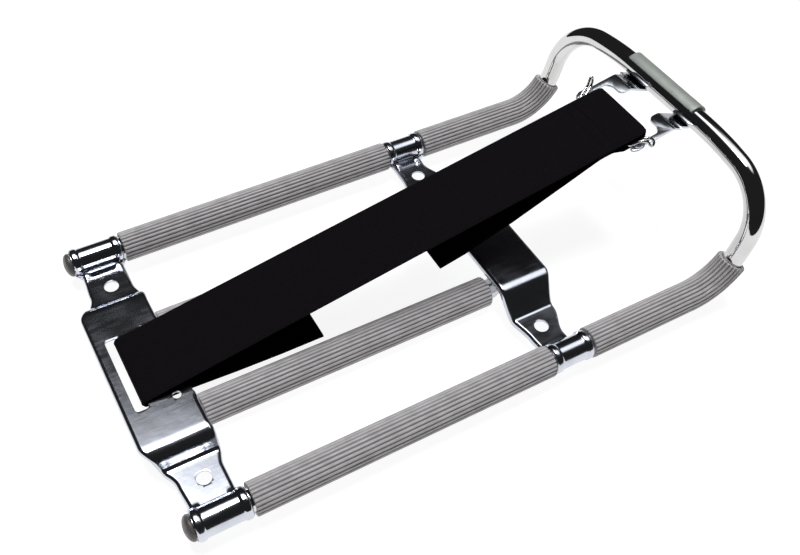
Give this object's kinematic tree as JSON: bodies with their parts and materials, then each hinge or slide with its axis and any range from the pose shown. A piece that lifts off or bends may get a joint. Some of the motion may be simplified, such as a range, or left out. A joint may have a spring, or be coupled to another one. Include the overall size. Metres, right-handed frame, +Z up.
{
  "type": "luggage rack",
  "caption": "Small tubular luggage rack with ribbed grips, two pressed cross plates, a raised front loop and an elastic hold-down strap.",
  "frame": {"origin": "bottom centre of the rack's bounding box, on the surface it rests on", "axes": "+X along the rails towards the raised front loop, +Y to the left, +Z up"},
  "size_m": [0.3725, 0.209, 0.093],
  "materials": {
    "chrome": "polished chrome plate",
    "pressed_chrome": "chrome plate over pressed steel, slightly soft reflections",
    "grip": "ribbed soft plastic, satin",
    "cap_plastic": "moulded plastic, satin",
    "webbing": "woven elastic webbing, matt"
  },
  "bodies": {
    "rack": {"frame_tube": "chrome", "rear_sleeve_left": "grip", "rear_sleeve_right": "grip", "front_sleeve_left": "grip", "front_sleeve_right": "grip", "inner_bar_left": "chrome", "inner_bar_right": "chrome", "inner_sleeve_left": "grip", "inner_sleeve_right": "grip", "rear_bracket": "pressed_chrome", "middle_bracket": "pressed_chrome", "end_cap_left": "cap_plastic", "end_cap_right": "cap_plastic", "strap_plate": "pressed_chrome", "strap_rear_loop": "webbing"},
    "strap": {"strap_band": "webbing"},
    "hook": {"strap_hook": "chrome"}
  },
  "joints": [
    {"name": "strap_lift", "type": "hinge", "parent": "rack", "child": "strap", "pos_m": [-0.17025, 0.0008, 0.02375], "axis": [0, -1, 0], "range_deg": [0, 110]},
    {"name": "hook_swing", "type": "hinge", "parent": "strap", "child": "hook", "pos_m": [0.13275, 0.0017, 0.07923], "axis": [0, -1, 0], "range_deg": [0, 20]}
  ]
}
